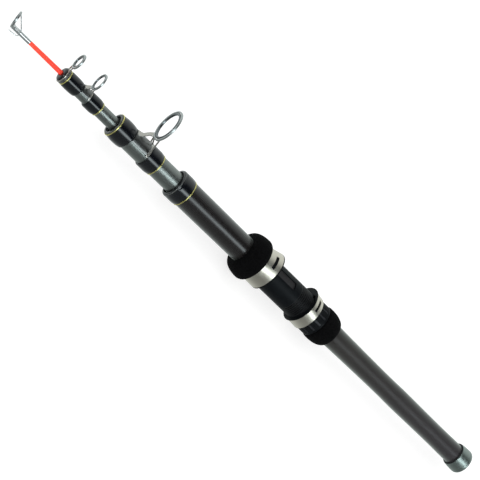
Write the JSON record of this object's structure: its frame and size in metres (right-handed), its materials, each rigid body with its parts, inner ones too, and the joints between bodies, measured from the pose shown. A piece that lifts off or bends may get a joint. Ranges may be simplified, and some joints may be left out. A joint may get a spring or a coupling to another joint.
{
  "type": "telescopic boat rod",
  "caption": "Collapsed telescopic boat fishing rod with line guides, foam grips, a screw-down reel seat and a screw-on butt cap.",
  "frame": {"origin": "centre of the butt cap's flat end face", "axes": "+X along the rod from butt to tip, +Z out of the reel seat's channel, the side that takes the reel"},
  "size_m": [0.5656, 0.0481, 0.0646],
  "materials": {
    "carbon_grey": "satin grey-green carbon-fibre blank under clear lacquer",
    "carbon_dark": "glossy charcoal carbon-fibre blank",
    "handle_brown": "satin dark brown-grey carbon-fibre tube",
    "tip_red": "glossy red solid tip",
    "wrap_black": "thread whipping under glossy black resin",
    "gold": "gold thread band under lacquer",
    "foam": "matt black closed-cell foam",
    "seat_black": "satin black moulded plastic",
    "steel": "polished stainless steel",
    "guide_steel": "gunmetal chromed steel",
    "insert_grey": "polished dark grey ceramic ring",
    "cap_metal": "anodised grey-green aluminium",
    "rubber": "matt black rubber"
  },
  "bodies": {
    "butt": {"butt_blank": "carbon_dark", "handle_tube": "handle_brown", "butt_mouth_wrap": "wrap_black", "butt_mouth_band": "gold", "fore_grip": "foam", "rear_grip": "foam", "seat_body": "seat_black", "fixed_hood": "steel", "fixed_hood_liner": "seat_black", "butt_thread_ring": "cap_metal", "cap_seal": "rubber"},
    "section_3": {"section_3_blank": "carbon_grey", "section_3_mouth_wrap": "wrap_black", "section_3_mouth_band": "gold", "section_3_foot_wrap": "wrap_black", "section_3_foot_band": "gold", "big_guide_frame": "guide_steel", "big_guide_ring": "insert_grey"},
    "section_2": {"section_2_blank": "carbon_grey", "section_2_mouth_wrap": "wrap_black", "section_2_mouth_band": "gold", "section_2_tip_wrap": "wrap_black", "section_2_foot_wrap": "wrap_black", "section_2_foot_band": "gold", "nose_piece": "wrap_black", "middle_guide_frame": "guide_steel", "middle_guide_ring": "insert_grey", "front_guide_frame": "guide_steel", "front_guide_ring": "insert_grey"},
    "tip": {"tip_blank": "tip_red", "tip_top_frame": "guide_steel", "tip_ring": "insert_grey"},
    "moving_hood": {"moving_hood": "steel", "moving_hood_liner": "seat_black"},
    "lock_nut": {"lock_nut": "seat_black"},
    "cap_pad": {"cap_pad": "rubber"},
    "butt_cap": {"butt_cap": "cap_metal"}
  },
  "joints": [
    {"name": "section_3_slide", "type": "slide", "parent": "butt", "child": "section_3", "axis": [1, 0, 0], "range_m": [0, 0.135]},
    {"name": "section_2_slide", "type": "slide", "parent": "section_3", "child": "section_2", "axis": [1, 0, 0], "range_m": [0, 0.4]},
    {"name": "tip_slide", "type": "slide", "parent": "section_2", "child": "tip", "axis": [1, 0, 0], "range_m": [0, 0.455]},
    {"name": "moving_hood_slide", "type": "slide", "parent": "butt", "child": "moving_hood", "axis": [1, 0, 0], "range_m": [0, 0.018]},
    {"name": "lock_nut_turn", "type": "hinge", "parent": "moving_hood", "child": "lock_nut", "pos_m": [0.1989, 0, 0], "axis": [1, 0, 0], "range_deg": [0, 3600.5]},
    {"name": "cap_slide", "type": "slide", "parent": "butt", "child": "cap_pad", "axis": [-1, 0, 0], "range_m": [0, 0.012]},
    {"name": "butt_cap_turn", "type": "hinge", "parent": "cap_pad", "child": "butt_cap", "pos_m": [0, 0, 0], "axis": [-1, 0, 0], "range_deg": [0, 2880.5]}
  ],
  "couplings": [
    {"joint": "lock_nut_turn", "follows": "moving_hood_slide", "rad_per_m": 3490.7},
    {"joint": "butt_cap_turn", "follows": "cap_slide", "rad_per_m": 4188.8}
  ]
}
